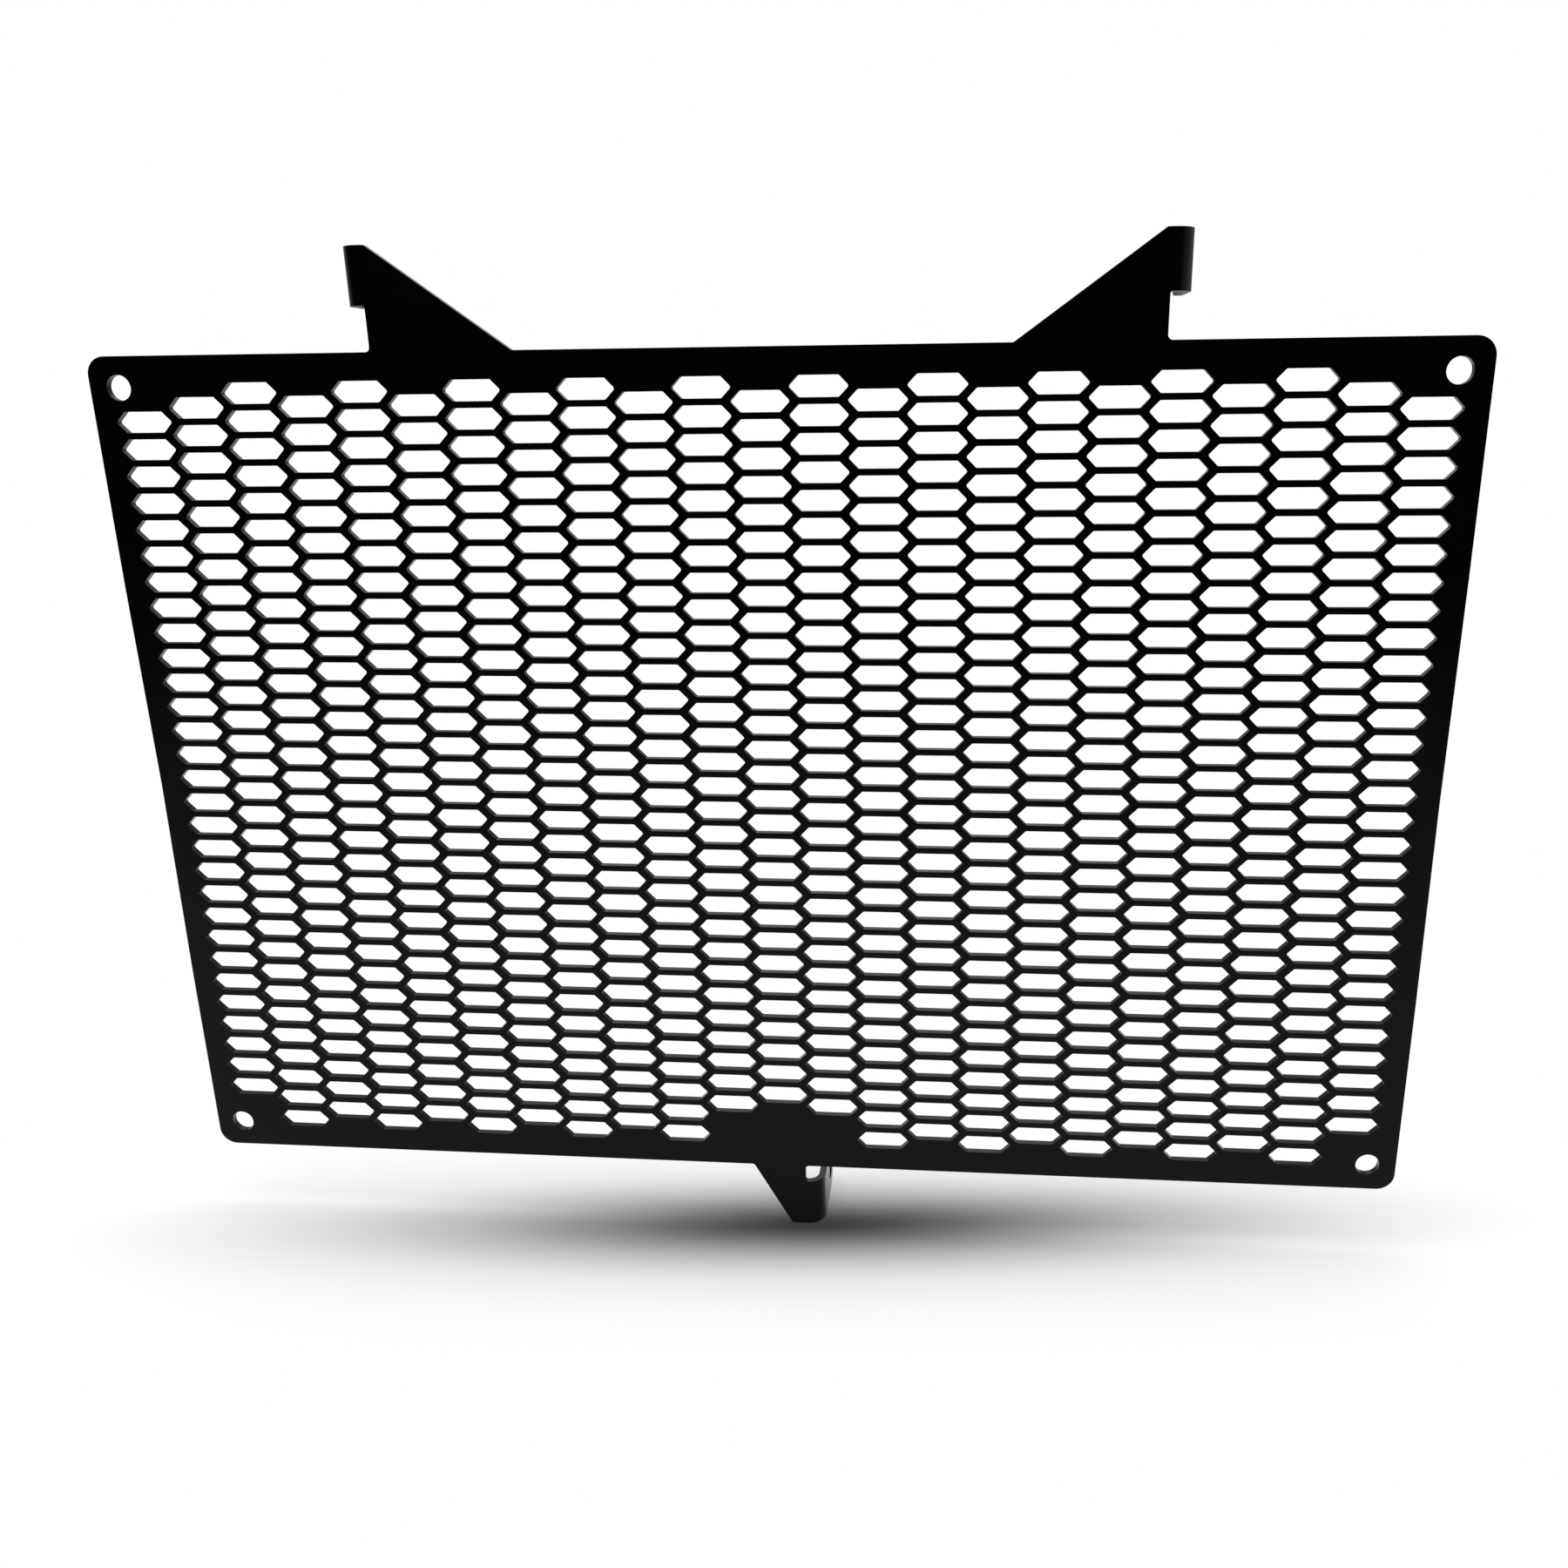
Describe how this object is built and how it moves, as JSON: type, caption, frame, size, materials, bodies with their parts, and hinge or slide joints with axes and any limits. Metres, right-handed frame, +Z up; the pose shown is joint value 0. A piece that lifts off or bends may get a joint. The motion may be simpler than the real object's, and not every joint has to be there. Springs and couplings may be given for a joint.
{
  "type": "motorcycle radiator guard",
  "caption": "Flat rectangular sheet guard with rows of six-sided openings, corner holes and three tabs whose flanges fold back.",
  "frame": {"origin": "centre of the plate, on its rear face where it is level, in the middle of the four corner holes", "axes": "+X along the plate's width, to the right as seen from the front; +Y backwards, the way the flanges fold; +Z up"},
  "size_m": [0.357, 0.0252, 0.2818],
  "materials": {
    "sheet": "satin black powder coat"
  },
  "bodies": {
    "root": {"guard_sheet": "sheet"}
  },
  "joints": []
}
